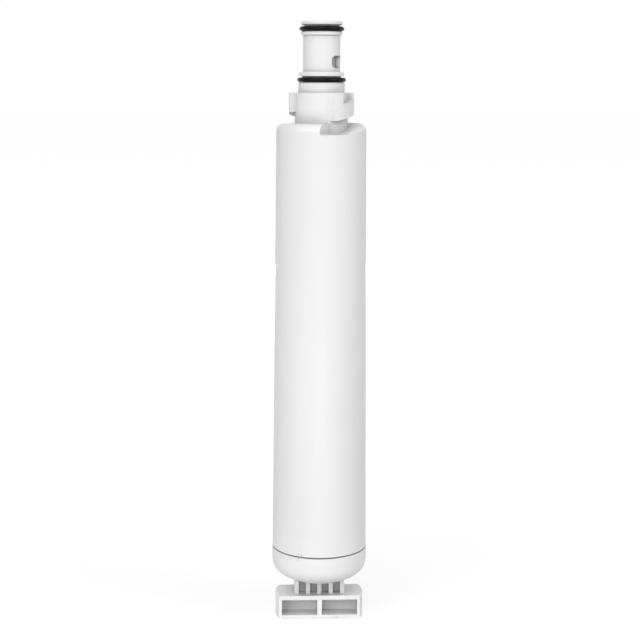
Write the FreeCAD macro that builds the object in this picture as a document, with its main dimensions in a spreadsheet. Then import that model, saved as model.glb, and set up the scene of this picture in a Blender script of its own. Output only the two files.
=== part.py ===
"""Quarter-turn water filter cartridge for a refrigerator, as a parametric document.

The cartridge stands on its T-handle. Z is its axis, X runs along the handle and the front looks towards -Y.
Lengths are in millimetres and angles in degrees. An angle about the axis counts from the front towards +X.
"""

import FreeCAD
import Part
import Sketcher

import math
import os
from types import SimpleNamespace

SIZES = {
    # T-handle, a bar with round ends and two pockets on each side
    "handle_height": 12.7,
    "handle_depth": 18.4,
    "handle_setback": 1.59,
    "handle_edge_round": 0.5,
    "pocket_wall": 2.2,
    "pocket_divider": 2.4,
    "pocket_end_wall": 1.4,
    "pocket_web": 1.4,
    "gate_notch_width": 3.2,
    "gate_notch_height": 1.0,
    "gate_notch_depth": 1.0,
    "gate_notch_offset": 8.95,
    # ribs and web that carry the handle
    "grip_gap": 6.0,
    "rib_count": 5,
    "rib_pitch": 6.0,
    "rib_thickness": 2.2,
    "rib_depth": 11.6,
    "rib_web": 2.9,
    # dished end cap with its weld spigot
    "cap_lip": 0.1,
    "cap_wall": 2.2,
    "cap_skirt": 6.7,
    "crown_radius": 41.9,
    "knuckle_radius": 8.2,
    "element_seat_radius": 8.0,
    "seam_gap": 0.8,
    "weld_depth": 5.0,
    "weld_clearance": 0.2,
    "spigot_wall": 1.8,
    # alignment marks across the seam
    "mark_angle": -28.3,
    "mark_step": 4.2,
    "mark_turn": 1.0,
    "mark_length": 1.6,
    "mark_depth": 0.25,
    # tube and shoulder of the housing
    "tube_length": 220.8,
    "tube_radius": 24.64,
    "tube_draft": 1.82,
    "shoulder_round": 4.0,
    "tube_wall": 2.3,
    "ceiling_chamfer": 2.0,
    # lug collar
    "collar_radius": 13.6,
    "collar_height": 15.25,
    "collar_core_radius": 10.4,
    "collar_roof": 2.0,
    # bayonet lugs and the reliefs in the shoulder below them
    "lug_radius": 16.4,
    "lug_lift": 1.4,
    "lug_lead_root": 13.0,
    "lug_lead_tip": 25.0,
    "lug_trail_tip": 101.5,
    "lug_root_depth": 0.6,
    "lug_root_round": 2.4,
    "lug_pitch": 19.4,
    "notch_start": 39.2,
    "notch_turn": 43.0,
    "notch_rise": 8.3,
    "channel_step": 0.15,
    "relief_depth": 5.3,
    "relief_floor": 2.5,
    "relief_root": 15.9,
    "relief_mouth": -7.6,
    "relief_flat_end": 33.0,
    "relief_pitch": 27.0,
    "relief_corner_round": 0.7,
    "cut_margin": 1.0,
    # neck with two seal grooves, inlet window and outlet bore
    "boss_radius": 11.75,
    "boss_height": 5.1,
    "inlet_groove_radius": 9.88,
    "inlet_groove_width": 3.15,
    "inlet_flange_radius": 11.5,
    "inlet_flange_height": 2.0,
    "neck_radius": 9.36,
    "neck_length": 17.96,
    "neck_bore_radius": 8.0,
    "outlet_flange_radius": 10.38,
    "outlet_flange_height": 2.07,
    "outlet_groove_radius": 8.88,
    "outlet_groove_width": 3.02,
    "tip_flange_height": 1.91,
    "tip_thickness": 6.5,
    "outlet_bore_radius": 4.0,
    "flange_chamfer": 0.45,
    "window_lift": 1.85,
    "window_height": 6.15,
    "window_near": 8.1,
    "window_far": 0.4,
    "window_start": 2.0,
    "window_round": 1.7,
    "window_roof": 2.0,
    "seal_bore_radius": 7.15,
    "neck_rib_count": 4,
    "neck_rib_width": 1.6,
    "neck_rib_play": 0.15,
    # O-rings
    "seal_section": 2.4,
    "spigot_seal_section": 1.78,
    "seal_clearance": 0.05,
    # filter element
    "flow_gap": 1.22,
    "block_core_radius": 6.0,
    "wrap_thickness": 1.2,
    "wrap_clearance": 0.05,
    "element_clearance": 0.15,
    "element_lift": 6.0,
    "plate_thickness": 3.0,
    "plate_rim_height": 8.0,
    "plate_rim_wall": 1.4,
    "plug_depth": 6.0,
    "end_play": 0.2,
    "standoff_count": 4,
    "standoff_height": 2.0,
    "standoff_width": 2.4,
    "spigot_play": 0.2,
    "spigot_end_gap": 0.5,
    "spigot_groove_drop": 3.0,
    "spigot_groove_play": 0.4,
    "foot_radius": 7.0,
    "foot_wall": 1.6,
    "fin_count": 6,
    "fin_thickness": 1.6,
    "fin_clearance": 0.4,
}

FULL_TURN = 360.0
QUARTER_TURN = 90.0
OVERRUN = 5.0
LUG_COUNT = 2
SEAM_MARKS = 2
COUNTER_CLOCKWISE = 1
CLOCKWISE = -1
NEAR = 1e-4


class Measure:
    """A length or an angle: its number, and the expression that ties it to the sheet."""

    def __init__(self, value, text):
        self.value = float(value)
        self.text = text

    def __add__(self, other):
        other = measure(other)
        return Measure(self.value + other.value, f"({self.text} + {other.text})")

    def __sub__(self, other):
        other = measure(other)
        return Measure(self.value - other.value, f"({self.text} - {other.text})")

    def __rsub__(self, other):
        return measure(other) - self

    def __mul__(self, other):
        other = measure(other)
        return Measure(self.value * other.value, f"({self.text} * {other.text})")

    def __truediv__(self, other):
        other = measure(other)
        return Measure(self.value / other.value, f"({self.text} / {other.text})")

    def __neg__(self):
        return Measure(-self.value, f"(0 - {self.text})")

    def root(self):
        """The square root."""
        return Measure(math.sqrt(self.value), f"sqrt({self.text})")

    def sine(self):
        """The sine of an angle."""
        return Measure(math.sin(math.radians(self.value)), f"sin({self.text})")

    def cosine(self):
        """The cosine of an angle."""
        return Measure(math.cos(math.radians(self.value)), f"cos({self.text})")


def measure(number):
    """A plain number as a Measure; a Measure stays as it is."""
    if isinstance(number, Measure):
        return number
    return Measure(number, repr(float(number)))


def leg(slant, side):
    """The other leg of a right triangle."""
    return (slant * slant - side * side).root()


def polar(radius, angle):
    """The plan corner at a radius and an angle from the front towards +X."""
    return radius * angle.sine(), -(radius * angle.cosine())


doc = FreeCAD.newDocument("filter_cartridge")
sheet = doc.addObject("Spreadsheet::Sheet", "Sizes")
for row, (alias, number) in enumerate(SIZES.items(), start=1):
    sheet.set(f"A{row}", alias)
    sheet.set(f"B{row}", str(number))
    sheet.setAlias(f"B{row}", alias)
doc.recompute()

d = SimpleNamespace(**{alias: Measure(sheet.get(alias), f"Sizes.{alias}") for alias in SIZES})
cap_radius = d.tube_radius + d.cap_lip
shoulder_radius = d.tube_radius - d.tube_draft
handle_end_radius = cap_radius - d.handle_setback


def arc_depth(radius, knuckle, reach):
    """How far below a crown's centre its knuckle's centre lies, for a dish that reaches out to a radius."""
    return leg(radius - knuckle, reach - knuckle)


def stations():
    """The heights of the seats and faces, stacked up from the floor."""
    z = SimpleNamespace()
    z.handle_top = d.handle_height
    z.dome_low = z.handle_top + d.grip_gap
    z.crown_centre = z.dome_low + d.crown_radius
    z.dome_high = z.crown_centre - arc_depth(d.crown_radius, d.knuckle_radius, cap_radius)
    z.cap_rim = z.dome_high + d.cap_skirt
    z.tube_low = z.cap_rim + d.seam_gap
    z.weld_top = z.tube_low + d.weld_depth
    z.shoulder = z.tube_low + d.tube_length
    z.relief = z.shoulder - d.relief_depth
    z.ceiling = z.relief - d.relief_floor
    z.lug_low = z.shoulder + d.lug_lift
    z.collar_top = z.shoulder + d.collar_height
    z.inlet_groove_low = z.collar_top + d.boss_height
    z.inlet_groove_high = z.inlet_groove_low + d.inlet_groove_width
    z.neck_low = z.inlet_groove_high + d.inlet_flange_height
    z.window_low = z.neck_low + d.window_lift
    z.window_high = z.window_low + d.window_height
    z.seal_bore_low = z.window_high + d.window_roof
    z.outlet_flange_low = z.neck_low + d.neck_length
    z.outlet_groove_low = z.outlet_flange_low + d.outlet_flange_height
    z.outlet_groove_high = z.outlet_groove_low + d.outlet_groove_width
    z.tip = z.outlet_groove_high + d.tip_flange_height
    z.outlet_ledge = z.tip - d.tip_thickness
    z.element_seat = z.crown_centre - leg(d.crown_radius - d.cap_wall, d.element_seat_radius)
    z.block_low = z.weld_top + d.element_lift
    z.block_high = z.ceiling - d.end_play - d.standoff_height - d.plate_thickness
    z.spigot_top = z.outlet_ledge - d.spigot_end_gap
    z.spigot_groove = z.spigot_top - d.spigot_groove_drop
    return z


z = stations()
tube_bore_low = d.tube_radius - d.tube_wall
tube_bore_high = shoulder_radius - d.tube_wall
weld_radius = tube_bore_low - d.weld_clearance
cap_bore = weld_radius - d.spigot_wall
channel_root = d.collar_radius - d.channel_step
cut_radius = d.tube_radius + d.cut_margin
rim_outer = tube_bore_high - d.flow_gap
rim_inner = rim_outer - d.plate_rim_wall
wrap_outer = rim_inner - d.element_clearance
wrap_inner = wrap_outer - d.wrap_thickness
block_radius = wrap_inner - d.wrap_clearance
plug_radius = d.block_core_radius - d.element_clearance
spigot_radius = d.seal_bore_radius - d.spigot_play
spigot_seal_floor = d.seal_bore_radius - d.spigot_seal_section - d.seal_clearance * 2
spigot_groove_half = (d.spigot_seal_section + d.spigot_groove_play) / 2


def new_body(label):
    """An empty body whose label names its file."""
    body = doc.addObject("PartDesign::Body", label)
    body.Label = label
    return body


def origin(body, role):
    """One of a body's own origin planes or axes."""
    return next(feature for feature in body.Origin.OriginFeatures if feature.Role == role)


def arc_between(start, end, radius, way):
    """The shorter arc from one point to another, either way round."""
    chord = end - start
    middle = (start + end) / 2
    height = math.sqrt(max(radius**2 - chord.Length**2 / 4, 0.0))
    across = FreeCAD.Vector(-chord.y, chord.x, 0).normalize()
    centre = middle + across * height * way
    first, last = (start, end) if way == COUNTER_CLOCKWISE else (end, start)
    angles = [math.atan2(point.y - centre.y, point.x - centre.x) for point in (first, last)]
    circle = Part.Circle(centre, FreeCAD.Vector(0, 0, 1), radius)
    return Part.ArcOfCircle(circle, angles[0], angles[1])


def hold(sketch, constraint, size):
    """Adds a constraint whose value follows a Measure."""
    index = sketch.addConstraint(constraint)
    sketch.setExpression(f"Constraints[{index}]", size.text)


def hold_corner(sketch, edge, end, x, y):
    """Fixes an edge's end at a corner, on an axis where a coordinate is nought."""
    for kind, size, axis in (("DistanceX", x, -2), ("DistanceY", y, -1)):
        if abs(size.value) < NEAR:
            sketch.addConstraint(Sketcher.Constraint("PointOnObject", edge, end, axis))
        else:
            hold(sketch, Sketcher.Constraint(kind, edge, end, size.value), size)


def new_sketch(body, name, plane, lift=None, swing=None):
    """A sketch on an origin plane, lifted along its normal or swung about Z from +X towards the front."""
    sketch = body.newObject("Sketcher::SketchObject", name)
    sketch.AttachmentSupport = [(origin(body, plane), "")]
    sketch.MapMode = "FlatFace"
    if swing is not None:
        turn = FreeCAD.Rotation(FreeCAD.Vector(0, -1, 0), swing.value)
        sketch.AttachmentOffset = FreeCAD.Placement(FreeCAD.Vector(), turn)
        sketch.setExpression("AttachmentOffset.Rotation.Angle", swing.text)
    if lift is not None:
        sketch.setExpression("AttachmentOffset.Base.z", lift.text)
    return sketch


def add_outline(sketch, steps):
    """Draws a closed outline of lines and arcs, with every corner and radius tied to the sheet.

    A step is (x, y) for a straight edge to that corner, or (x, y, radius, way) for an arc to it. The first
    step closes the outline from the last corner.
    """
    corners = [(measure(step[0]), measure(step[1])) for step in steps]
    points = [FreeCAD.Vector(x.value, y.value, 0) for x, y in corners]
    ways = [step[3] if len(step) == 4 else COUNTER_CLOCKWISE for step in steps]
    base = sketch.GeometryCount
    count = len(steps)
    for index, step in enumerate(steps):
        start, end = points[index - 1], points[index]
        if len(step) == 4:
            sketch.addGeometry(arc_between(start, end, step[2].value, step[3]))
        else:
            sketch.addGeometry(Part.LineSegment(start, end))
    for index, step in enumerate(steps):
        edge = base + index
        following = base + (index + 1) % count
        end = 2 if ways[index] == COUNTER_CLOCKWISE else 1
        begin = 1 if ways[(index + 1) % count] == COUNTER_CLOCKWISE else 2
        sketch.addConstraint(Sketcher.Constraint("Coincident", edge, end, following, begin))
        hold_corner(sketch, edge, end, *corners[index])
        if len(step) == 4:
            hold(sketch, Sketcher.Constraint("Radius", edge, step[2].value), step[2])


def rectangle(left, bottom, right, top):
    """The steps of a rectangle."""
    return [(left, bottom), (right, bottom), (right, top), (left, top)]


def add_feature(body, kind, name, profile, **sizes):
    """A feature made from a sketch, with its sizes tied to the sheet."""
    feature = body.newObject(f"PartDesign::{kind}", name)
    feature.Profile = profile
    for prop, size in sizes.items():
        feature.setExpression(prop, size.text)
    return feature


def revolve(body, kind, name, profile):
    """A full turn of a profile about Z, added or cut away."""
    feature = add_feature(body, kind, name, profile)
    feature.ReferenceAxis = (origin(body, "Z_Axis"), [""])
    feature.Angle = FULL_TURN
    return feature


def helical_cut(body, name, profile, pitch, rise):
    """Cuts a profile away along a right-handed helix about Z."""
    feature = add_feature(body, "SubtractiveHelix", name, profile)
    feature.ReferenceAxis = (origin(body, "Z_Axis"), [""])
    feature.Mode = "pitch-height-angle"
    feature.setExpression("Pitch", pitch.text)
    feature.setExpression("Height", rise.text)
    return feature


def cut_mark(body, name, angle, radius, low, high):
    """Cuts a shallow upright mark into a round wall, at an angle from the front towards +X."""
    section = new_sketch(body, f"{name}_section", "XZ_Plane", swing=QUARTER_TURN - angle)
    add_outline(section, rectangle(radius - d.mark_depth, low, radius + d.cut_margin, high))
    mark = revolve(body, "Groove", name, section)
    mark.Midplane = True
    mark.setExpression("Angle", d.mark_turn.text)


def polar_copies(body, name, features, count):
    """Repeats features evenly about Z."""
    pattern = body.newObject("PartDesign::PolarPattern", name)
    pattern.Originals = features
    pattern.Axis = (origin(body, "Z_Axis"), [""])
    pattern.Angle = FULL_TURN
    pattern.Occurrences = count
    body.Tip = pattern
    return pattern


def ring_edges(shape, rings):
    """The names of the circular edges that have the given radii and heights."""
    names = []
    for index, edge in enumerate(shape.Edges, start=1):
        if not isinstance(edge.Curve, Part.Circle):
            continue
        for radius, height in rings:
            same_radius = abs(edge.Curve.Radius - radius.value) < NEAR
            if same_radius and abs(edge.Curve.Center.z - height.value) < NEAR:
                names.append(f"Edge{index}")
    return names


def straight_edges(shape, fits):
    """The names of the straight edges whose two ends fit a test."""
    names = []
    for index, edge in enumerate(shape.Edges, start=1):
        if isinstance(edge.Curve, Part.Line) and fits(*(vertex.Point for vertex in edge.Vertexes)):
            names.append(f"Edge{index}")
    return names


def round_all_edges(body, name, base, radius):
    """Rounds every edge of a feature."""
    fillet = body.newObject("PartDesign::Fillet", name)
    fillet.Base = (base, [""])
    fillet.UseAllEdges = True
    fillet.setExpression("Radius", radius.text)


def round_edges(body, name, base, edges, radius):
    """Rounds the named edges of a feature."""
    fillet = body.newObject("PartDesign::Fillet", name)
    fillet.Base = (base, edges)
    fillet.setExpression("Radius", radius.text)
    return fillet


def break_edges(body, name, base, edges, size):
    """Chamfers the named edges of a feature."""
    chamfer = body.newObject("PartDesign::Chamfer", name)
    chamfer.Base = (base, edges)
    chamfer.setExpression("Size", size.text)


def dish(crown, knuckle, reach):
    """The steps of a dished curve outwards and up: a crown arc, then a knuckle arc to an upright wall."""
    depth = arc_depth(crown, knuckle, reach)
    share = crown / (crown - knuckle)
    return [
        ((reach - knuckle) * share, z.crown_centre - depth * share, crown, COUNTER_CLOCKWISE),
        (reach, z.crown_centre - depth, knuckle, COUNTER_CLOCKWISE),
    ]


def build_end_cap():
    """The dished cap with its weld spigot, ribs and T-handle, moulded as one piece."""
    body = new_body("end_cap")
    half_depth = d.handle_depth / 2
    corner_x = leg(handle_end_radius, half_depth)
    bar = new_sketch(body, "handle_plan", "XY_Plane")
    add_outline(bar, [
        (-corner_x, -half_depth, handle_end_radius, COUNTER_CLOCKWISE),
        (corner_x, -half_depth),
        (corner_x, half_depth, handle_end_radius, COUNTER_CLOCKWISE),
        (-corner_x, half_depth),
    ])
    handle = add_feature(body, "Pad", "handle_bar", bar, Length=d.handle_height)
    doc.recompute()
    round_all_edges(body, "handle_rounds", handle, d.handle_edge_round)

    rib_length = z.dome_high - z.handle_top
    outer_rib = d.rib_pitch * (d.rib_count - 1) / 2
    half_rib = d.rib_thickness / 2
    web = new_sketch(body, "web_plan", "XY_Plane", lift=z.handle_top)
    add_outline(web, rectangle(-outer_rib, -(d.rib_web / 2), outer_rib, d.rib_web / 2))
    add_feature(body, "Pad", "rib_web", web, Length=rib_length)
    rib = new_sketch(body, "rib_plan", "XY_Plane", lift=z.handle_top)
    half_rib_depth = d.rib_depth / 2
    add_outline(rib, rectangle(-outer_rib - half_rib, -half_rib_depth, half_rib - outer_rib, half_rib_depth))
    first_rib = add_feature(body, "Pad", "rib", rib, Length=rib_length)
    ribs = body.newObject("PartDesign::LinearPattern", "ribs")
    ribs.Originals = [first_rib]
    ribs.Direction = (origin(body, "X_Axis"), [""])
    ribs.setExpression("Length", (outer_rib * 2).text)
    ribs.Occurrences = int(d.rib_count.value)
    body.Tip = ribs

    dome = new_sketch(body, "dome_profile", "XZ_Plane")
    add_outline(dome, [
        (0, z.dome_low),
        *dish(d.crown_radius, d.knuckle_radius, cap_radius),
        (cap_radius, z.cap_rim),
        (weld_radius, z.cap_rim),
        (weld_radius, z.weld_top),
        (0, z.weld_top),
    ])
    revolve(body, "Revolution", "dome", dome)

    inner_crown = d.crown_radius - d.cap_wall
    hollow = new_sketch(body, "cap_hollow_profile", "XZ_Plane")
    add_outline(hollow, [
        (0, z.element_seat),
        (d.element_seat_radius, z.element_seat),
        *dish(inner_crown, d.knuckle_radius - d.cap_wall, cap_bore),
        (cap_bore, z.weld_top + d.cut_margin),
        (0, z.weld_top + d.cut_margin),
    ])
    revolve(body, "Groove", "cap_hollow", hollow)

    pocket_outer = corner_x - d.pocket_end_wall
    pocket_inner = d.pocket_divider / 2
    pocket_top = z.handle_top - d.pocket_wall
    front = new_sketch(body, "pocket_outlines", "XZ_Plane", lift=half_depth)
    add_outline(front, rectangle(-pocket_outer, d.pocket_wall, -pocket_inner, pocket_top))
    add_outline(front, rectangle(pocket_inner, d.pocket_wall, pocket_outer, pocket_top))
    pockets = add_feature(body, "Pocket", "pockets", front, Length=half_depth - d.pocket_web / 2)
    both_sides = body.newObject("PartDesign::Mirrored", "pockets_both_sides")
    both_sides.Originals = [pockets]
    both_sides.MirrorPlane = (origin(body, "XZ_Plane"), [""])
    body.Tip = both_sides

    notch = new_sketch(body, "gate_notch_outline", "XZ_Plane", lift=half_depth)
    half_notch = d.gate_notch_width / 2
    add_outline(notch, rectangle(
        d.gate_notch_offset - half_notch, -d.cut_margin,
        d.gate_notch_offset + half_notch, d.gate_notch_height,
    ))
    add_feature(body, "Pocket", "gate_notch", notch, Length=d.gate_notch_depth)
    mark_top = z.cap_rim + d.seam_gap / 2
    cut_mark(body, "cap_mark", d.mark_angle, cap_radius, z.cap_rim - d.mark_length, mark_top)
    return body


def add_housing_shell(body):
    """The housing's turned form: tube, shoulder, collar and neck, with its bores and seal grooves."""
    shoulder_flat = shoulder_radius - d.shoulder_round
    ceiling_flat = tube_bore_high - d.ceiling_chamfer
    lead_in = d.neck_bore_radius - d.seal_bore_radius
    profile = new_sketch(body, "housing_profile", "XZ_Plane")
    add_outline(profile, [
        (tube_bore_low, z.tube_low),
        (d.tube_radius, z.tube_low),
        (shoulder_radius, z.shoulder - d.shoulder_round),
        (shoulder_flat, z.shoulder, d.shoulder_round, COUNTER_CLOCKWISE),
        (d.collar_radius, z.shoulder),
        (d.collar_radius, z.collar_top),
        (d.boss_radius, z.collar_top),
        (d.boss_radius, z.inlet_groove_low),
        (d.inlet_groove_radius, z.inlet_groove_low),
        (d.inlet_groove_radius, z.inlet_groove_high),
        (d.inlet_flange_radius, z.inlet_groove_high),
        (d.inlet_flange_radius, z.neck_low),
        (d.neck_radius, z.neck_low),
        (d.neck_radius, z.outlet_flange_low),
        (d.outlet_flange_radius, z.outlet_flange_low),
        (d.outlet_flange_radius, z.outlet_groove_low),
        (d.outlet_groove_radius, z.outlet_groove_low),
        (d.outlet_groove_radius, z.outlet_groove_high),
        (d.outlet_flange_radius, z.outlet_groove_high),
        (d.outlet_flange_radius, z.tip),
        (d.outlet_bore_radius, z.tip),
        (d.outlet_bore_radius, z.outlet_ledge),
        (d.seal_bore_radius, z.outlet_ledge),
        (d.seal_bore_radius, z.seal_bore_low + lead_in),
        (d.neck_bore_radius, z.seal_bore_low),
        (d.neck_bore_radius, z.collar_top - d.collar_roof),
        (d.collar_core_radius, z.collar_top - d.collar_roof),
        (d.collar_core_radius, z.ceiling),
        (ceiling_flat, z.ceiling),
        (tube_bore_high, z.ceiling - d.ceiling_chamfer),
    ])
    shell = revolve(body, "Revolution", "shell", profile)
    doc.recompute()
    rims = [
        (d.outlet_flange_radius, z.tip),
        (d.outlet_flange_radius, z.outlet_groove_high),
        (d.outlet_flange_radius, z.outlet_groove_low),
        (d.outlet_flange_radius, z.outlet_flange_low),
        (d.inlet_flange_radius, z.neck_low),
        (d.boss_radius, z.inlet_groove_low),
    ]
    break_edges(body, "flange_chamfers", shell, ring_edges(shell.Shape, rims), d.flange_chamfer)


def add_lugs(body):
    """Two bayonet lugs with helical undersides and notches, above helical reliefs in the shoulder."""
    root_radius = d.collar_radius - d.lug_root_depth
    trail_x, trail_y = polar(d.lug_radius, d.lug_trail_tip)
    plan = new_sketch(body, "lug_plan", "XY_Plane", lift=z.lug_low)
    add_outline(plan, [
        (*polar(root_radius, d.lug_lead_root), root_radius, CLOCKWISE),
        polar(d.lug_radius, d.lug_lead_tip),
        (trail_x, trail_y, d.lug_radius, COUNTER_CLOCKWISE),
        (leg(root_radius, trail_y), trail_y),
    ])
    lug = add_feature(body, "Pad", "lug", plan, Length=z.collar_top - z.lug_low)

    relief_plan = new_sketch(body, "relief_plan", "XY_Plane", lift=z.shoulder)
    add_outline(relief_plan, [
        (*polar(channel_root, d.relief_root), channel_root, CLOCKWISE),
        polar(cut_radius, d.relief_mouth),
        (*polar(cut_radius, d.relief_flat_end), cut_radius, COUNTER_CLOCKWISE),
        polar(channel_root, d.relief_flat_end),
    ])
    relief = add_feature(body, "Pocket", "relief", relief_plan, Length=d.relief_depth)

    ramp_start = d.relief_flat_end - d.cut_margin
    ramp_section = new_sketch(body, "ramp_section", "XZ_Plane", swing=QUARTER_TURN - ramp_start)
    add_outline(ramp_section, rectangle(channel_root, z.relief, cut_radius, z.shoulder + d.cut_margin / 2))
    ramp = helical_cut(body, "ramp", ramp_section, d.relief_pitch, d.relief_depth - d.channel_step)

    lug_reach = d.lug_radius + d.cut_margin
    under_section = new_sketch(body, "under_section", "XZ_Plane", swing=QUARTER_TURN - d.lug_lead_tip)
    add_outline(under_section, rectangle(channel_root, z.lug_low - d.relief_depth, lug_reach, z.lug_low))
    under_turn = d.lug_trail_tip - d.lug_lead_tip + OVERRUN
    under_rise = d.lug_pitch * under_turn / FULL_TURN
    underside = helical_cut(body, "underside", under_section, d.lug_pitch, under_rise)

    notch_floor = z.lug_low + d.notch_rise
    notch_section = new_sketch(body, "notch_section", "XZ_Plane", swing=QUARTER_TURN - d.notch_start)
    add_outline(notch_section, rectangle(channel_root, notch_floor, lug_reach, z.collar_top + d.cut_margin))
    notch = helical_cut(body, "notch", notch_section, d.lug_pitch, d.lug_pitch * d.notch_turn / FULL_TURN)
    return polar_copies(body, "both_lugs", [lug, relief, ramp, underside, notch], LUG_COUNT)


def add_lug_rounds(body, lugs):
    """The hollow rounds at the lugs' lead roots and at the feet of the reliefs' end walls."""
    doc.recompute()
    lug_height = (z.collar_top - z.lug_low).value
    foot_x, foot_y = (abs(size.value) for size in polar(channel_root, d.relief_root))

    def at_lead_root(start, end):
        """Whether an edge stands on the collar where a lug's lead face meets it."""
        on_collar = all(abs(math.hypot(p.x, p.y) - d.collar_radius.value) < NEAR for p in (start, end))
        return on_collar and abs(abs(end.z - start.z) - lug_height) < NEAR

    def at_wall_foot(start, end):
        """Whether an edge lies at the foot of a relief's end wall."""
        level = all(abs(p.z - z.relief.value) < NEAR for p in (start, end))
        return level and any(math.hypot(abs(p.x) - foot_x, abs(p.y) - foot_y) < NEAR for p in (start, end))

    roots = straight_edges(lugs.Shape, at_lead_root)
    root_rounds = round_edges(body, "lug_root_rounds", lugs, roots, d.lug_root_round)
    doc.recompute()
    feet = straight_edges(root_rounds.Shape, at_wall_foot)
    round_edges(body, "relief_corner_rounds", root_rounds, feet, d.relief_corner_round)


def add_inlet_window(body):
    """The rounded inlet window, cut through the neck's wall along X."""
    near, far, bend = -d.window_near, -d.window_far, d.window_round
    window = new_sketch(body, "window_outline", "YZ_Plane", lift=d.window_start)
    add_outline(window, [
        (near + bend, z.window_low, bend, COUNTER_CLOCKWISE),
        (far - bend, z.window_low),
        (far, z.window_low + bend, bend, COUNTER_CLOCKWISE),
        (far, z.window_high - bend),
        (far - bend, z.window_high, bend, COUNTER_CLOCKWISE),
        (near + bend, z.window_high),
        (near, z.window_high - bend, bend, COUNTER_CLOCKWISE),
        (near, z.window_low + bend),
    ])
    cut = add_feature(body, "Pocket", "inlet_window", window, Length=d.neck_radius)
    cut.Reversed = True


def add_neck_ribs(body):
    """Ribs in the neck's bore that centre the element's spigot; one of them closes the window's far side."""
    bore_low = z.collar_top - d.collar_roof
    rib_plan = new_sketch(body, "neck_rib_plan", "XY_Plane", lift=bore_low)
    add_outline(rib_plan, rectangle(
        spigot_radius + d.neck_rib_play, -d.window_far,
        (d.neck_bore_radius + d.neck_radius) / 2, d.neck_rib_width - d.window_far,
    ))
    rib = add_feature(body, "Pad", "neck_rib", rib_plan, Length=z.seal_bore_low - bore_low)
    polar_copies(body, "neck_ribs", [rib], int(d.neck_rib_count.value))


def add_seam_marks(body):
    """Two marks at the tube's lower edge; the first lines up with the end cap's mark."""
    for index in range(SEAM_MARKS):
        angle = d.mark_angle + d.mark_step * index
        cut_mark(body, f"seam_mark_{index}", angle, d.tube_radius, z.cap_rim, z.tube_low + d.mark_length)


def build_housing():
    """The moulded tube with its shoulder, bayonet lugs and neck."""
    body = new_body("housing")
    add_housing_shell(body)
    add_lug_rounds(body, add_lugs(body))
    add_inlet_window(body)
    add_neck_ribs(body)
    add_seam_marks(body)
    return body


def build_o_ring(label, floor_radius, section, height):
    """An O-ring that sits on a groove's floor, centred at a height."""
    ring = doc.addObject("Part::Torus", label)
    ring.Label = label
    ring.setExpression("Radius1", (floor_radius + d.seal_clearance + section / 2).text)
    ring.setExpression("Radius2", (section / 2).text)
    ring.setExpression("Placement.Base.z", height.text)
    return ring


def build_tube(label, outer, inner, low, high):
    """A plain tube about Z, from one height to another."""
    solids = []
    for name, radius in (("outside", outer), ("inside", inner)):
        cylinder = doc.addObject("Part::Cylinder", f"{label}_{name}")
        cylinder.setExpression("Radius", radius.text)
        cylinder.setExpression("Height", (high - low).text)
        cylinder.setExpression("Placement.Base.z", low.text)
        solids.append(cylinder)
    tube = doc.addObject("Part::Cut", label)
    tube.Label = label
    tube.Base, tube.Tool = solids
    return tube


def build_element_top_cap():
    """The element's upper cap: a rimmed plate with standoffs, a core plug and the outlet spigot."""
    body = new_body("element_top_cap")
    plate_top = z.block_high + d.plate_thickness
    profile = new_sketch(body, "top_cap_profile", "XZ_Plane")
    add_outline(profile, [
        (d.outlet_bore_radius, z.block_high - d.plug_depth),
        (plug_radius, z.block_high - d.plug_depth),
        (plug_radius, z.block_high),
        (rim_inner, z.block_high),
        (rim_inner, z.block_high - d.plate_rim_height),
        (rim_outer, z.block_high - d.plate_rim_height),
        (rim_outer, plate_top),
        (spigot_radius, plate_top),
        (spigot_radius, z.spigot_groove - spigot_groove_half),
        (spigot_seal_floor, z.spigot_groove - spigot_groove_half),
        (spigot_seal_floor, z.spigot_groove + spigot_groove_half),
        (spigot_radius, z.spigot_groove + spigot_groove_half),
        (spigot_radius, z.spigot_top),
        (d.outlet_bore_radius, z.spigot_top),
    ])
    revolve(body, "Revolution", "plate_and_spigot", profile)
    bar = new_sketch(body, "standoff_plan", "XY_Plane", lift=plate_top)
    half_width = d.standoff_width / 2
    add_outline(bar, rectangle(d.collar_core_radius, -half_width, block_radius, half_width))
    standoff = add_feature(body, "Pad", "standoff", bar, Length=d.standoff_height)
    polar_copies(body, "standoffs", [standoff], int(d.standoff_count.value))
    return body


def build_element_bottom_cap():
    """The element's closed lower cap: a rimmed plate on a tubular foot, with fins to centre it."""
    body = new_body("element_bottom_cap")
    plate_low = z.block_low - d.plate_thickness
    rim_top = z.block_low + d.plate_rim_height
    foot_inner = d.foot_radius - d.foot_wall
    profile = new_sketch(body, "bottom_cap_profile", "XZ_Plane")
    add_outline(profile, [
        (0, plate_low),
        (foot_inner, plate_low),
        (foot_inner, z.element_seat),
        (d.foot_radius, z.element_seat),
        (d.foot_radius, plate_low),
        (rim_outer, plate_low),
        (rim_outer, rim_top),
        (rim_inner, rim_top),
        (rim_inner, z.block_low),
        (plug_radius, z.block_low),
        (plug_radius, z.block_low + d.plug_depth),
        (0, z.block_low + d.plug_depth),
    ])
    revolve(body, "Revolution", "plate_and_foot", profile)
    plan = new_sketch(body, "fin_plan", "XY_Plane", lift=plate_low)
    half_fin = d.fin_thickness / 2
    fin_root = rim_inner + d.plate_rim_wall / 2
    add_outline(plan, rectangle(fin_root, -half_fin, tube_bore_low - d.fin_clearance, half_fin))
    fin = add_feature(body, "Pad", "fin", plan, Length=rim_top - plate_low)
    polar_copies(body, "fins", [fin], int(d.fin_count.value))
    return body


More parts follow.
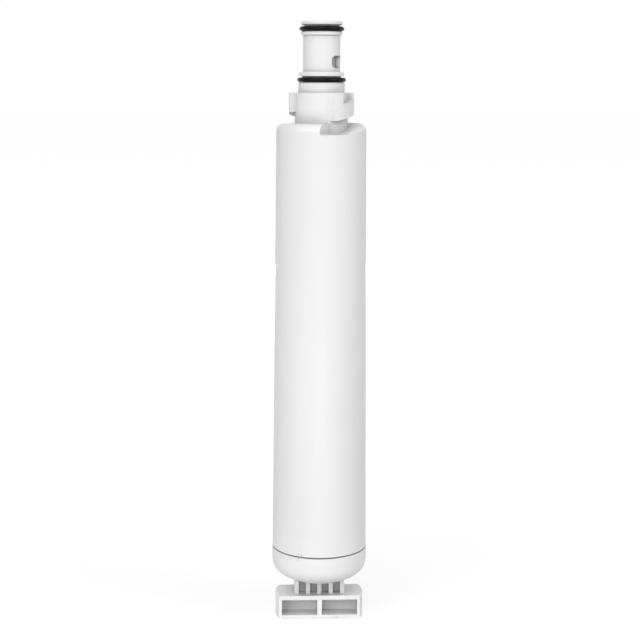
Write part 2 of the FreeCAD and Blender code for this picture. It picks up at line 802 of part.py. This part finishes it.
def build_parts():
    """Every sub-part, in the order of assembly from the handle up."""
    seal_half = d.seal_section / 2 + d.seal_clearance
    inlet_seal = z.inlet_groove_low + seal_half
    outlet_seal = z.outlet_groove_low + seal_half
    return [
        build_end_cap(),
        build_element_bottom_cap(),
        build_tube("carbon_block", block_radius, d.block_core_radius, z.block_low, z.block_high),
        build_tube("prefilter_wrap", wrap_outer, wrap_inner, z.block_low, z.block_high),
        build_element_top_cap(),
        build_o_ring("spigot_o_ring", spigot_seal_floor, d.spigot_seal_section, z.spigot_groove),
        build_housing(),
        build_o_ring("inlet_o_ring", d.inlet_groove_radius, d.seal_section, inlet_seal),
        build_o_ring("outlet_o_ring", d.outlet_groove_radius, d.seal_section, outlet_seal),
    ]


def check_document():
    """Stops if any object failed to recompute."""
    for item in doc.Objects:
        if "Invalid" in item.State or "Error" in item.State:
            raise RuntimeError(f"{item.Label} failed: {item.State}")


def export(part):
    """Writes one sub-part's STEP file, after checking that it is one sound solid."""
    shape = part.Shape
    if shape.isNull() or not shape.isValid() or len(shape.Solids) != 1:
        raise RuntimeError(f"{part.Label} is not one valid solid")
    shape.exportStep(os.path.join("parts", f"{part.Label}.step"))
    print(f"{part.Label}: {shape.Volume / 1000:.2f} cm3")


parts = build_parts()
doc.recompute()
check_document()
os.makedirs("parts", exist_ok=True)
for part in parts:
    export(part)
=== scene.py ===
"""Dresses and lights the refrigerator water filter cartridge in a plain white studio.

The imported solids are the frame. The white mouldings and the filter element keep their solids and get their
finish here, and the three O-rings are worked out again with the flash line that a rubber mould leaves.

Lengths are in metres and angles in degrees. Z is the cartridge's axis, X runs along its handle, and the
front looks towards -Y.
"""

import logging
import math
from dataclasses import dataclass
from enum import Enum
from typing import Any, Mapping, Optional, Sequence, Union

import bpy
import numpy as np
from mathutils import Matrix, Vector

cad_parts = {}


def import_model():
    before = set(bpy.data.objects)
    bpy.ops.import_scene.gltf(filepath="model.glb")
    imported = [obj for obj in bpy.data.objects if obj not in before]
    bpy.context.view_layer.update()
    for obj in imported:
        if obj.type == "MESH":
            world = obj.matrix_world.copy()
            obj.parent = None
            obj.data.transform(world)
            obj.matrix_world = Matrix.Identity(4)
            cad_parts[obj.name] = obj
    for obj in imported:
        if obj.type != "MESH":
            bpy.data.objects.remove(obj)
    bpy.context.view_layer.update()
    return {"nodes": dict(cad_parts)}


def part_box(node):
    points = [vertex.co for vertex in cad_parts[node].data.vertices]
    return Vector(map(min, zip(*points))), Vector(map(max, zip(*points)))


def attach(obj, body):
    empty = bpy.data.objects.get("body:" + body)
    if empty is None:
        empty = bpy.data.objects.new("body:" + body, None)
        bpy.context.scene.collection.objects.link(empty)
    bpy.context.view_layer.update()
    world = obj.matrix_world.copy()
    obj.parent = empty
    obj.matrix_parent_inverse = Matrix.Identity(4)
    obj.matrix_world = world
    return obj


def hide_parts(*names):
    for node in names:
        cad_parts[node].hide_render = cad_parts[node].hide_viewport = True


LOG = logging.getLogger("filter_cartridge")
MILLIMETRE = 0.001
QUARTER_TURN = 90.0
BODY = "root"

# Colours are linear light, and a node's colour socket takes an alpha after them.
Colour = tuple[float, float, float]
Shade = Union[Colour, bpy.types.NodeSocket]
OPAQUE = 1.0

# The level that a noise texture varies about.
NOISE_MIDDLE = 0.5


def grey(level: float) -> Colour:
    """The neutral colour of one level."""
    return (level, level, level)


WHITE = grey(1.0)


class Closure(Enum):
    """Whether a grid of points is an open sheet, or closes on itself in both directions as a ring does."""

    SHEET = "sheet"
    RING = "ring"


class Signal:
    """A number that varies over a surface: a node's output socket, with Python's arithmetic.

    An expression such as 1 - mask * 0.5 adds the Math nodes that work it out.
    """

    def __init__(self, board: "NodeBoard", socket: bpy.types.NodeSocket) -> None:
        """Wraps a socket.

        Args:
            board: The node tree's board, which adds the nodes.
            socket: The output socket.
        """
        self.board = board
        self.socket = socket

    def _math(self, operation: str, first: "Value", second: "Value") -> "Signal":
        """Adds one Math node.

        Args:
            operation: The node's operation.
            first: Its first value.
            second: Its second value.

        Returns:
            The node's result.
        """
        node = self.board.node("ShaderNodeMath", {"operation": operation}, {0: first, 1: second})
        return Signal(self.board, node.outputs[0])

    def __add__(self, other: "Value") -> "Signal":
        """The sum."""
        return self._math("ADD", self, other)

    __radd__ = __add__

    def __sub__(self, other: "Value") -> "Signal":
        """The difference."""
        return self._math("SUBTRACT", self, other)

    def __rsub__(self, other: "Value") -> "Signal":
        """The reflected difference."""
        return self._math("SUBTRACT", other, self)

    def __mul__(self, other: "Value") -> "Signal":
        """The product."""
        return self._math("MULTIPLY", self, other)

    __rmul__ = __mul__

    def at_most(self, other: "Value") -> "Signal":
        """The smaller of two values."""
        return self._math("MINIMUM", self, other)

    def at_least(self, other: "Value") -> "Signal":
        """The larger of two values."""
        return self._math("MAXIMUM", self, other)


# What an input socket takes: a number, a colour or vector, or a link.
Value = Union[float, Sequence[float], bpy.types.NodeSocket, Signal]


class NodeBoard:
    """A node tree that nodes are added to."""

    # A Mix node's colour sockets go by number, because its value and vector sockets have the same names.
    MIX_SHARE, MIX_LOW, MIX_HIGH, MIX_RESULT = 0, 6, 7, 2
    OPENNESS_SAMPLES = 16

    def __init__(self, tree: bpy.types.NodeTree) -> None:
        """Clears a tree.

        Args:
            tree: The node tree of a material or world.
        """
        tree.nodes.clear()
        self.tree = tree

    def node(
            self, kind: str, settings: Mapping[str, Any],
            sockets: Mapping[Union[int, str], Value]) -> bpy.types.Node:
        """Adds a node.

        Args:
            kind: The node's type.
            settings: Its settings, which are set first.
            sockets: The value or link of each input socket, by name or number.

        Returns:
            The new node.
        """
        node = self.tree.nodes.new(kind)
        for name, setting in settings.items():
            setattr(node, name, setting)
        for key, value in sockets.items():
            if isinstance(value, Signal):
                value = value.socket
            if isinstance(value, bpy.types.NodeSocket):
                self.tree.links.new(value, node.inputs[key])
            else:
                node.inputs[key].default_value = value
        return node

    def coordinates(self) -> bpy.types.NodeSocket:
        """The Object coordinates, which are metres in the shared frame."""
        return self.node("ShaderNodeTexCoord", {}, {}).outputs["Object"]

    def noise(self, vector: bpy.types.NodeSocket, grain: float, detail: float) -> Signal:
        """Adds a noise texture.

        Args:
            vector: The coordinates.
            grain: The size of its blotches, in metres.
            detail: How many finer octaves it has.

        Returns:
            The noise, from 0 to 1 about its middle.
        """
        sockets = {"Vector": vector, "Scale": 1.0 / grain, "Detail": detail}
        return Signal(self, self.node("ShaderNodeTexNoise", {}, sockets).outputs[0])

    def blend(self, share: Signal, low: Shade, high: Shade) -> bpy.types.NodeSocket:
        """Mixes two colours.

        Args:
            share: The share of the second colour.
            low: The first colour, or its socket.
            high: The second colour, or its socket.

        Returns:
            The mixed colour.
        """
        first, second = (
            shade if isinstance(shade, bpy.types.NodeSocket) else (*shade, OPAQUE) for shade in (low, high))
        sockets = {self.MIX_SHARE: share, self.MIX_LOW: first, self.MIX_HIGH: second}
        return self.node("ShaderNodeMix", {"data_type": "RGBA"}, sockets).outputs[self.MIX_RESULT]

    def openness(self, reach: float, own_walls: bool) -> Signal:
        """Adds a node that tells how open the piece is at a point.

        Args:
            reach: How far walls are looked for, in metres.
            own_walls: Whether only the piece's own walls count, and not its neighbours'.

        Returns:
            1 on a free surface, towards 0 deep in a recess.
        """
        settings = {"only_local": own_walls, "samples": self.OPENNESS_SAMPLES}
        node = self.node("ShaderNodeAmbientOcclusion", settings, {"Distance": reach})
        return Signal(self, node.outputs["AO"])

    def bump(
            self, height: Signal, depth: float, strength: float,
            below: Optional[bpy.types.NodeSocket] = None) -> bpy.types.NodeSocket:
        """Adds a bump.

        Args:
            height: The relief, from 0 to 1.
            depth: The relief's depth in metres.
            strength: How much of it shows.
            below: The normal of a coarser bump that this one lies on.

        Returns:
            The bumped normal.
        """
        sockets = {"Height": height, "Distance": depth, "Strength": strength}
        if below is not None:
            sockets["Normal"] = below
        return self.node("ShaderNodeBump", {}, sockets).outputs["Normal"]


def new_material(name: str) -> tuple[bpy.types.Material, NodeBoard]:
    """Makes an empty node material.

    Args:
        name: The material's name.

    Returns:
        The material and its board.
    """
    material = bpy.data.materials.new(name)
    material.use_nodes = True
    return material, NodeBoard(material.node_tree)


def finish_surface(board: NodeBoard, shader: bpy.types.Node) -> None:
    """Joins a shader to the material's output.

    Args:
        board: The material's board.
        shader: The shader node.
    """
    board.node("ShaderNodeOutputMaterial", {}, {"Surface": shader.outputs[0]})


@dataclass(frozen=True)
class MouldedPlastic:
    """Moulded plastic: a fine satin grain, faint flow marks and the slow waves of a shrinking wall.

    The colours and the roughness are those of the cartridge's white, unless a finish gives its own.
    In recesses the colour darkens towards a painted shade colour.
    """

    name: str
    painted_shade_colour: Colour
    painted_shade_reach: float = 6 * MILLIMETRE
    own_walls: bool = True
    low_colour: Colour = grey(0.80)
    high_colour: Colour = grey(0.825)
    roughness: float = 0.36
    roughness_play: float = 0.10
    refraction: float = 1.49
    flow_size: float = 18 * MILLIMETRE
    flow_detail: float = 3.0
    grain_size: float = 0.22 * MILLIMETRE
    grain_detail: float = 2.0
    grain_depth: float = 0.012 * MILLIMETRE
    grain_strength: float = 0.6
    wave_size: float = 24 * MILLIMETRE
    wave_detail: float = 0.0
    wave_depth: float = 0.01 * MILLIMETRE
    wave_strength: float = 0.5

    def material(self) -> bpy.types.Material:
        """Makes the material: two bumps, a mottled colour darkened by painted shade in recesses, and an
        uneven gloss.

        Returns:
            The material.
        """
        material, board = new_material(self.name)
        place = board.coordinates()
        flow = board.noise(place, self.flow_size, self.flow_detail)
        grain = board.noise(place, self.grain_size, self.grain_detail)
        wave = board.noise(place, self.wave_size, self.wave_detail)
        waved = board.bump(wave, self.wave_depth, self.wave_strength)
        mottle = board.blend(flow, self.low_colour, self.high_colour)
        # Painted shade: the occlusion mask darkens the colour towards the shade colour in recesses.
        openness = board.openness(self.painted_shade_reach, self.own_walls)
        shader = board.node("ShaderNodeBsdfPrincipled", {}, {
            "Base Color": board.blend(openness, self.painted_shade_colour, mottle),
            "Roughness": self.roughness + (flow + grain - 2 * NOISE_MIDDLE) * self.roughness_play,
            "Normal": board.bump(grain, self.grain_depth, self.grain_strength, waved),
            "IOR": self.refraction,
        })
        finish_surface(board, shader)
        return material


@dataclass(frozen=True)
class SealRubber:
    """Moulded black rubber with a thin, uneven film of grease."""

    name: str = "seal_rubber_black"
    dry_colour: Colour = grey(0.003)
    worn_colour: Colour = grey(0.007)
    sheen: float = 0.08
    dry_roughness: float = 0.30
    greased_roughness: float = 0.18
    film_size: float = 5 * MILLIMETRE
    film_detail: float = 2.0
    grain_size: float = 0.12 * MILLIMETRE
    grain_detail: float = 1.0
    grain_depth: float = 0.008 * MILLIMETRE
    grain_strength: float = 0.5

    def material(self) -> bpy.types.Material:
        """Makes the material: the film lowers the roughness in patches over a fine grain.

        Returns:
            The material.
        """
        material, board = new_material(self.name)
        place = board.coordinates()
        film = board.noise(place, self.film_size, self.film_detail)
        grain = board.noise(place, self.grain_size, self.grain_detail)
        shader = board.node("ShaderNodeBsdfPrincipled", {}, {
            "Base Color": board.blend(grain, self.dry_colour, self.worn_colour),
            "Roughness": self.dry_roughness + film * (self.greased_roughness - self.dry_roughness),
            "Normal": board.bump(grain, self.grain_depth, self.grain_strength),
            "Specular IOR Level": self.sheen,
        })
        finish_surface(board, shader)
        return material


@dataclass(frozen=True)
class BondedCarbon:
    """Carbon granules bonded into a porous block."""

    name: str = "carbon_bonded"
    pore_colour: Colour = grey(0.008)
    grain_colour: Colour = (0.050, 0.050, 0.052)
    grain_size: float = 0.45 * MILLIMETRE
    speck_detail: float = 2.0
    pore_depth: float = 0.15 * MILLIMETRE
    pore_strength: float = 0.9
    roughness: float = 0.62
    roughness_play: float = 0.3

    def material(self) -> bpy.types.Material:
        """Makes the material: each granule is a cell, and the gaps between cells are pores.

        Returns:
            The material.
        """
        material, board = new_material(self.name)
        place = board.coordinates()
        sockets = {"Vector": place, "Scale": 1.0 / self.grain_size}
        cells = board.node("ShaderNodeTexVoronoi", {"feature": "F1"}, sockets)
        rise = 1.0 - Signal(board, cells.outputs["Distance"])
        speck = board.noise(place, self.grain_size, self.speck_detail)
        shader = board.node("ShaderNodeBsdfPrincipled", {}, {
            "Base Color": board.blend(rise * speck, self.pore_colour, self.grain_colour),
            "Roughness": self.roughness + (speck - NOISE_MIDDLE) * self.roughness_play,
            "Normal": board.bump(rise, self.pore_depth, self.pore_strength),
        })
        finish_surface(board, shader)
        return material


@dataclass(frozen=True)
class Fleece:
    """Non-woven fleece: fibres laid in all directions."""

    name: str = "fleece_white"
    deep_colour: Colour = (0.66, 0.66, 0.64)
    fibre_colour: Colour = (0.88, 0.88, 0.86)
    fibre_leans: tuple[float, float] = (28.0, -34.0)
    fibre_length: float = 6 * MILLIMETRE
    fibre_width: float = 0.35 * MILLIMETRE
    fibre_detail: float = 1.0
    fibre_depth: float = 0.12 * MILLIMETRE
    fibre_strength: float = 0.8
    roughness: float = 0.9
    roughness_play: float = 0.1

    def material(self) -> bpy.types.Material:
        """Makes the material: two sets of stretched noise cross as fibres.

        Returns:
            The material.
        """
        material, board = new_material(self.name)
        place = board.coordinates()
        first, second = (self._fibres(board, place, lean) for lean in self.fibre_leans)
        fibres = first.at_least(second)
        shader = board.node("ShaderNodeBsdfPrincipled", {}, {
            "Base Color": board.blend(fibres, self.deep_colour, self.fibre_colour),
            "Roughness": self.roughness + (fibres - NOISE_MIDDLE) * self.roughness_play,
            "Normal": board.bump(fibres, self.fibre_depth, self.fibre_strength),
        })
        finish_surface(board, shader)
        return material

    def _fibres(self, board: NodeBoard, place: bpy.types.NodeSocket, lean: float) -> Signal:
        """One set of fibres.

        Args:
            board: The material's board.
            place: The coordinates.
            lean: How far the fibres lean from upright.

        Returns:
            The fibres' relief.
        """
        stretch = (1.0, 1.0, self.fibre_width / self.fibre_length)
        turn = (math.radians(lean), math.radians(lean), 0.0)
        mapping = board.node("ShaderNodeMapping", {}, {"Vector": place, "Rotation": turn, "Scale": stretch})
        return board.noise(mapping.outputs[0], self.fibre_width, self.fibre_detail)


@dataclass(frozen=True)
class StudioPaper:
    """White paper that the camera and reflections see as white, with the object's shadow on it."""

    name: str = "studio_paper"
    seen_colour: Colour = grey(0.30)
    bounce_colour: Colour = grey(0.60)
    roughness: float = 0.95
    sheen: float = 0.0
    near_glow: Colour = grey(0.75)
    far_glow: Colour = grey(0.94)
    far_reach: float = 1.0

    def material(self) -> bpy.types.Material:
        """Makes the material: lit paper, with a glow that only seeing rays meet and that grows outwards.

        The lamps light the paper less further out, and the glow makes up for it, so that all of it is white
        but for the object's shadow.

        Returns:
            The material.
        """
        material, board = new_material(self.name)
        seeing = seeing_ray(board)
        paper = board.node("ShaderNodeBsdfPrincipled", {}, {
            "Base Color": board.blend(seeing, self.bounce_colour, self.seen_colour),
            "Roughness": self.roughness,
            "Specular IOR Level": self.sheen,
        })
        length = board.node("ShaderNodeVectorMath", {"operation": "LENGTH"}, {0: board.coordinates()})
        outwards = (Signal(board, length.outputs["Value"]) * (1.0 / self.far_reach)).at_most(1.0)
        colour = board.blend(outwards, self.near_glow, self.far_glow)
        glow = board.node("ShaderNodeEmission", {}, {"Color": colour, "Strength": seeing})
        lit = board.node("ShaderNodeAddShader", {}, {0: paper.outputs[0], 1: glow.outputs[0]})
        finish_surface(board, lit)
        return material


def seeing_ray(board: NodeBoard) -> Signal:
    """Tells the rays that see a surface from those that light one.

    Args:
        board: The board of a material or world.

    Returns:
        1 for camera, glossy and transmission rays, and 0 for the rest.
    """
    path = board.node("ShaderNodeLightPath", {}, {})
    kinds = ("Camera", "Glossy", "Transmission")
    camera, glossy, transmission = (Signal(board, path.outputs[f"Is {kind} Ray"]) for kind in kinds)
    return camera.at_least(glossy).at_least(transmission)


def grid_faces(rows: int, columns: int, closure: Closure) -> np.ndarray:
    """The quads between neighbouring points of a grid, numbered row by row.

    Args:
        rows: How many rows of points there are.
        columns: How many points a row has.
        closure: Whether the last row and column join the first.

    Returns:
        One row of four point numbers for each quad.
    """
    open_edge = 1 if closure is Closure.SHEET else 0
    row, column = np.meshgrid(np.arange(rows - open_edge), np.arange(columns - open_edge), indexing="ij")
    next_row = (row + 1) % rows
    next_column = (column + 1) % columns
    corners = ((row, column), (row, next_column), (next_row, next_column), (next_row, column))
    return np.stack([r * columns + c for r, c in corners], axis=-1).reshape(-1, 4)


def grid_object(
        name: str, points: np.ndarray, closure: Closure, material: bpy.types.Material) -> bpy.types.Object:
    """Puts a grid of points into a smooth mesh, with its place in the mesh.

    Args:
        name: The object's name.
        points: The grid, as rows by columns by three coordinates.
        closure: Whether the last row and column join the first.
        material: The finish.

    Returns:
        The new object.
    """
    rows, columns, _ = points.shape
    mesh = bpy.data.meshes.new(name)
    mesh.from_pydata(points.reshape(-1, 3), [], grid_faces(rows, columns, closure), shade_flat=False)
    mesh.materials.append(material)
    grid = bpy.data.objects.new(name, mesh)
    bpy.context.scene.collection.objects.link(grid)
    return grid


def dress(node: bpy.types.Object, material: bpy.types.Material) -> None:
    """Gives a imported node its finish.

    Args:
        node: The node's object.
        material: The finish.
    """
    node.data.materials.clear()
    node.data.materials.append(material)
    LOG.info("%s dressed in %s", node.name, material.name)


@dataclass
class Mouldings:
    """The two white mouldings: the housing and the end cap with its T-handle."""

    nodes: Mapping[str, bpy.types.Object]
    housing: str = "housing"
    cap: str = "end_cap"
    # Each finish paints shade into its recesses; the housing's shade also counts its neighbours' walls.
    housing_finish: MouldedPlastic = MouldedPlastic(
        "white_plastic_housing", painted_shade_colour=grey(0.30), painted_shade_reach=8 * MILLIMETRE, own_walls=False)
    cap_finish: MouldedPlastic = MouldedPlastic(
        "white_plastic_cap", painted_shade_colour=grey(0.43), painted_shade_reach=10 * MILLIMETRE)

    def build(self) -> None:
        """Dresses both mouldings in the same white, each with its own painted recess shade."""
        dress(self.nodes[self.housing], self.housing_finish.material())
        dress(self.nodes[self.cap], self.cap_finish.material())


@dataclass
class SealSet:
    """The O-rings, as tori with the thin flash that the two halves of their mould leave."""

    names: tuple[str, ...] = ("outlet_o_ring", "inlet_o_ring", "spigot_o_ring")
    slot: str = "seal_rubber"
    finish: SealRubber = SealRubber()
    flash_height: float = 0.035 * MILLIMETRE
    flash_spread: float = 3.5
    round_count: int = 192
    section_count: int = 60

    def build(self) -> None:
        """Makes each O-ring where its solid lies."""
        material = self.finish.material()
        for name in self.names:
            ring = grid_object(f"{name}_rubber", self.surface(name), Closure.RING, material)
            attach(ring, BODY)
            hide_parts(name)
            LOG.info("%s made", ring.name)

    def surface(self, name: str) -> np.ndarray:
        """The torus: a circle of the section's radius, carried round the axis.

        The section's radius is the solid's at its inner and outer equator, and falls by the flash's height
        away from it, along a bell curve of the angle from the equator.

        Args:
            name: The solid that the O-ring stands for.

        Returns:
            The grid of points, round the axis by round the section.
        """
        low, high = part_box(name)
        section = (high.z - low.z) / 2
        ring = (high.x - low.x) / 2 - section
        around = np.linspace(0.0, 2 * np.pi, self.round_count, endpoint=False)[:, None]
        turn = np.linspace(0.0, 2 * np.pi, self.section_count, endpoint=False)[None, :]
        from_equator = np.degrees(np.arcsin(np.sin(turn)))
        flash = np.exp(-((from_equator / self.flash_spread) ** 2))
        radius = section + self.flash_height * (flash - 1.0)
        reach = ring + radius * np.cos(turn)
        height = (low.z + high.z) / 2 + radius * np.sin(turn)
        grid = np.broadcast_arrays(reach * np.cos(around), reach * np.sin(around), height)
        return np.stack(grid, axis=-1)


@dataclass
class FilterElement:
    """The element inside: a carbon block in fleece between two glued caps."""

    nodes: Mapping[str, bpy.types.Object]
    caps: tuple[str, ...] = ("element_top_cap", "element_bottom_cap")
    block: str = "carbon_block"
    wrap: str = "prefilter_wrap"
    # The caps' grey is painted shade that darkens the element seen through the neck's window, and their
    # recess colour paints deeper shade on it.
    cap_finish: MouldedPlastic = MouldedPlastic(
        "element_plastic_matt_painted_shade", painted_shade_colour=grey(0.20), low_colour=grey(0.36), high_colour=grey(0.39),
        roughness=0.6)
    block_finish: BondedCarbon = BondedCarbon()
    wrap_finish: Fleece = Fleece()

    def build(self) -> None:
        """Dresses the caps, the block and its wrap."""
        cap_material = self.cap_finish.material()
        for name in self.caps:
            dress(self.nodes[name], cap_material)
        dress(self.nodes[self.block], self.block_finish.material())
        dress(self.nodes[self.wrap], self.wrap_finish.material())


def outward(azimuth: float, elevation: float = 0.0) -> Vector:
    """A direction away from the cartridge's axis.

    Args:
        azimuth: Its angle from the front, counted towards +X.
        elevation: How far it rises above the level.

    Returns:
        The direction, of length 1.
    """
    turn, rise = math.radians(azimuth), math.radians(elevation)
    return Vector((math.sin(turn) * math.cos(rise), -math.cos(turn) * math.cos(rise), math.sin(rise)))


def turn_about(axis: str, angle: float) -> Matrix:
    """The turn by an angle about an axis."""
    return Matrix.Rotation(math.radians(angle), 4, axis)


@dataclass(frozen=True)
class Lamp:
    """A lamp, unseen by the camera, that faces a point on the cartridge's axis."""

    name: str
    azimuth: float
    elevation: float
    distance: float
    power: float
    aim_height: float = 0.16
    mirrored: bool = True

    def make_light(self) -> bpy.types.Light:
        """Makes the lamp's light, which each kind of lamp does in its own way."""
        raise NotImplementedError

    def place(self) -> None:
        """Sets the lamp up; glossy surfaces mirror it only where it says so."""
        light = self.make_light()
        light.energy = self.power
        lamp = bpy.data.objects.new(self.name, light)
        lamp.visible_camera = False
        lamp.visible_glossy = self.mirrored
        back = outward(self.azimuth, self.elevation)
        lamp.location = Vector((0.0, 0.0, self.aim_height)) + back * self.distance
        lamp.rotation_euler = back.to_track_quat("Z", "Y").to_euler()
        bpy.context.scene.collection.objects.link(lamp)


@dataclass(frozen=True)
class Softbox(Lamp):
    """A rectangular soft light."""

    width: float = 0.6
    height: float = 0.6

    def make_light(self) -> bpy.types.Light:
        """Makes the light.

        Returns:
            The area light.
        """
        light = bpy.data.lights.new(self.name, "AREA")
        light.shape = "RECTANGLE"
        light.size, light.size_y = self.width, self.height
        return light


@dataclass(frozen=True)
class Spotlight(Lamp):
    """A narrow, soft-edged spot."""

    cone: float = 6.4
    edge_blend: float = 0.6
    radius: float = 0.03

    def make_light(self) -> bpy.types.Light:
        """Makes the light.

        Returns:
            The spot light.
        """
        light = bpy.data.lights.new(self.name, "SPOT")
        light.spot_size = math.radians(self.cone)
        light.spot_blend = self.edge_blend
        light.shadow_soft_size = self.radius
        return light


@dataclass(frozen=True)
class PhotoCamera:
    """A camera at the photograph's viewing angle, near the line from the front to the cartridge's axis."""

    name: str = "photo_camera"
    lens_mm: float = 81.56
    sensor_mm: float = 36.0
    distance: float = 0.7396
    height: float = 0.2813
    azimuth: float = -2.7
    pan: float = 0.012
    tilt: float = 9.417
    roll: float = 0.30
    clip_share: float = 0.01

    def place(self) -> None:
        """Makes the scene's camera; a quarter turn about X levels it, and the tilt is taken off that."""
        camera = bpy.data.cameras.new(self.name)
        camera.lens = self.lens_mm
        camera.sensor_width = self.sensor_mm
        camera.clip_start = self.distance * self.clip_share
        tripod = bpy.data.objects.new(self.name, camera)
        place = outward(self.azimuth) * self.distance + Vector((0.0, 0.0, self.height))
        facing = turn_about("Z", self.azimuth + self.pan) @ turn_about("X", QUARTER_TURN - self.tilt)
        tripod.matrix_world = Matrix.Translation(place) @ facing @ turn_about("Z", self.roll)
        bpy.context.scene.collection.objects.link(tripod)
        bpy.context.scene.camera = tripod


@dataclass(frozen=True)
class Studio:
    """A white paper floor, an even surround, soft lights and two low spots on the handle."""

    floor_reach: float = 12.0
    floor_lines: int = 3
    ambient: float = 0.17
    paper: StudioPaper = StudioPaper()
    camera: PhotoCamera = PhotoCamera()
    lamps: tuple[Lamp, ...] = (
        Softbox("front_softbox", azimuth=-4, elevation=30, distance=1.4, power=6.1, width=0.7, height=0.7),
        Softbox("key_softbox", azimuth=-42, elevation=40, distance=1.5, power=3.7, width=0.8, height=0.8),
        Softbox("left_softbox", azimuth=-40, elevation=22, distance=1.5, power=2.7),
        Softbox("right_softbox", azimuth=62, elevation=32, distance=1.5, power=6.8),
        Softbox("top_softbox", azimuth=-60, elevation=76, distance=1.6, power=5.0, width=1.2, height=1.2),
        Softbox("back_softbox", azimuth=180, elevation=0, distance=1.5, power=13.0, width=0.8, height=0.26,
                aim_height=0.15, mirrored=False),
        Softbox("left_foot_strip", azimuth=-48, elevation=2, distance=0.45, power=0.15, width=0.3,
                height=0.08, aim_height=0.02),
        Softbox("front_foot_strip", azimuth=-3, elevation=2, distance=0.45, power=0.29, width=0.3,
                height=0.08, aim_height=0.02),
        Spotlight("left_handle_spot", azimuth=-52, elevation=4, distance=0.6, power=2.3, aim_height=0.006),
        Spotlight("right_handle_spot", azimuth=46, elevation=4, distance=0.6, power=1.4, aim_height=0.006),
    )

    def build(self) -> None:
        """Sets up the floor, the surround, the lamps and the camera."""
        self._lay_floor()
        self._light_surround()
        for lamp in self.lamps:
            lamp.place()
        self.camera.place()
        bpy.context.scene.view_settings.view_transform = "Standard"

    def _lay_floor(self) -> None:
        """Lays a flat square sheet: the product of one line of places along X and one along Y."""
        line = np.linspace(-self.floor_reach, self.floor_reach, self.floor_lines)
        x, y = np.meshgrid(line, line, indexing="xy")
        points = np.stack([x, y, np.zeros_like(x)], axis=-1)
        floor = grid_object("studio_floor", points, Closure.SHEET, self.paper.material())

    def _light_surround(self) -> None:
        """Makes the world: white where it is seen, and the ambient level where it lights a surface."""
        world = bpy.data.worlds.new("studio_surround")
        world.use_nodes = True
        board = NodeBoard(world.node_tree)
        strength = self.ambient + seeing_ray(board) * (1.0 - self.ambient)
        sockets = {"Color": (*WHITE, OPAQUE), "Strength": strength}
        surround = board.node("ShaderNodeBackground", {}, sockets)
        board.node("ShaderNodeOutputWorld", {}, {"Surface": surround.outputs[0]})
        bpy.context.scene.world = world


def main() -> None:
    """Builds the sub-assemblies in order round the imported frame."""
    logging.basicConfig(level=logging.INFO, format="%(name)s: %(message)s")
    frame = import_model()
    Mouldings(frame["nodes"]).build()
    SealSet().build()
    FilterElement(frame["nodes"]).build()
    Studio().build()


if __name__ == "__main__":
    main()
